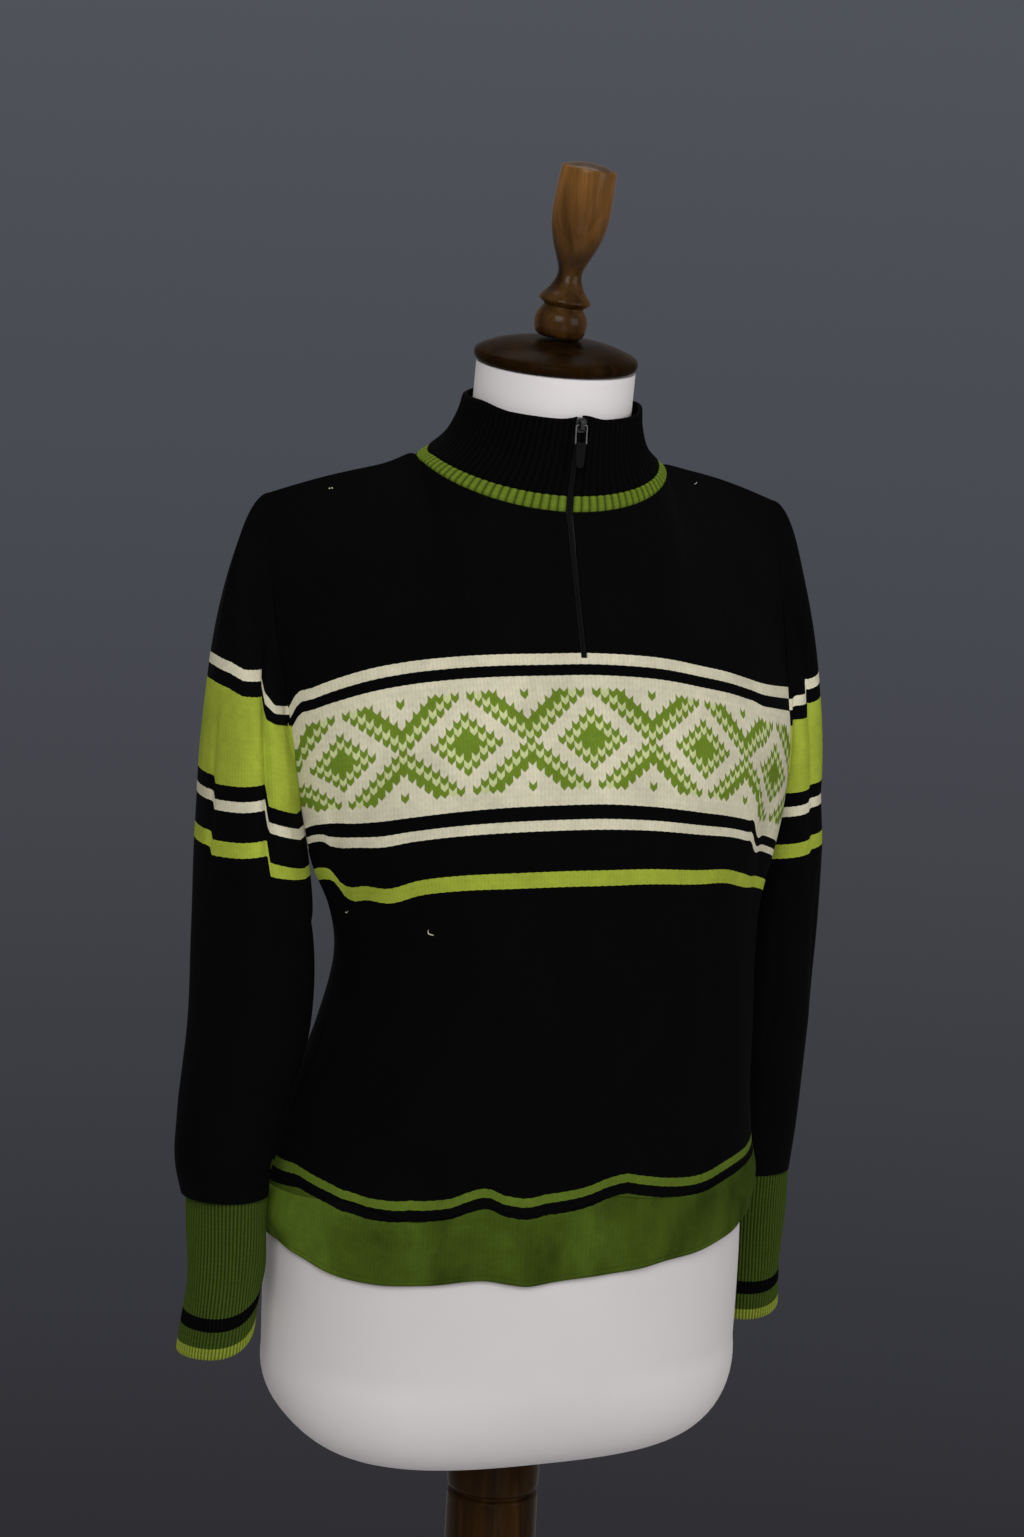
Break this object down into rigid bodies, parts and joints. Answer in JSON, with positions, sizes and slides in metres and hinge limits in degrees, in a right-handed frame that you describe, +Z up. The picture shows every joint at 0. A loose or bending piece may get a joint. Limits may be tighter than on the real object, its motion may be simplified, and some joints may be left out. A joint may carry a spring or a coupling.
{
  "type": "nordic half-zip sweater on dress form",
  "caption": "Fine-knit long-sleeved half-zip sweater with a patterned chest band, striped sleeves and a ribbed funnel collar, worn by a limbless dress form on a wooden stand.",
  "frame": {"origin": "centre of the stand's underside, on the floor", "axes": "+Z up; the sweater's front faces -Y; the wearer's left is +X"},
  "size_m": [0.4807, 0.38, 1.6497],
  "materials": {
    "body_knit": "fine stocking-stitch knit, matt",
    "hem_knit": "doubled fine knit, matt",
    "sleeve_knit": "fine stocking-stitch knit, matt",
    "cuff_rib": "ribbed knit, matt",
    "trim_rib": "ribbed knit, matt",
    "collar_rib": "ribbed knit, matt",
    "zip_coil": "satin",
    "slider_metal": "satin, dark",
    "loop_metal": "polished",
    "tab_strap": "woven strap",
    "form_cover": "smooth stretched cover, matt",
    "turned_wood": "stained and varnished",
    "stand_wood": "stained and varnished"
  },
  "bodies": {
    "garment_on_form": {"front_panel": "body_knit", "back_panel": "body_knit", "hem_band": "hem_knit", "sleeve_right": "sleeve_knit", "sleeve_left": "sleeve_knit", "cuff_right": "cuff_rib", "cuff_left": "cuff_rib", "collar_trim": "trim_rib", "collar": "collar_rib", "zip_chain": "zip_coil", "zip_slider": "slider_metal", "form_torso": "form_cover", "neck_cap": "turned_wood", "finial": "turned_wood", "post": "stand_wood", "base": "stand_wood"},
    "pull": {"pull_loop": "loop_metal", "pull_tab": "tab_strap"}
  },
  "joints": [
    {"name": "pull_swing", "type": "hinge", "parent": "garment_on_form", "child": "pull", "pos_m": [-0.0036, -0.0693, 1.481], "axis": [-1, 0, 0], "range_deg": [0, 150]}
  ]
}
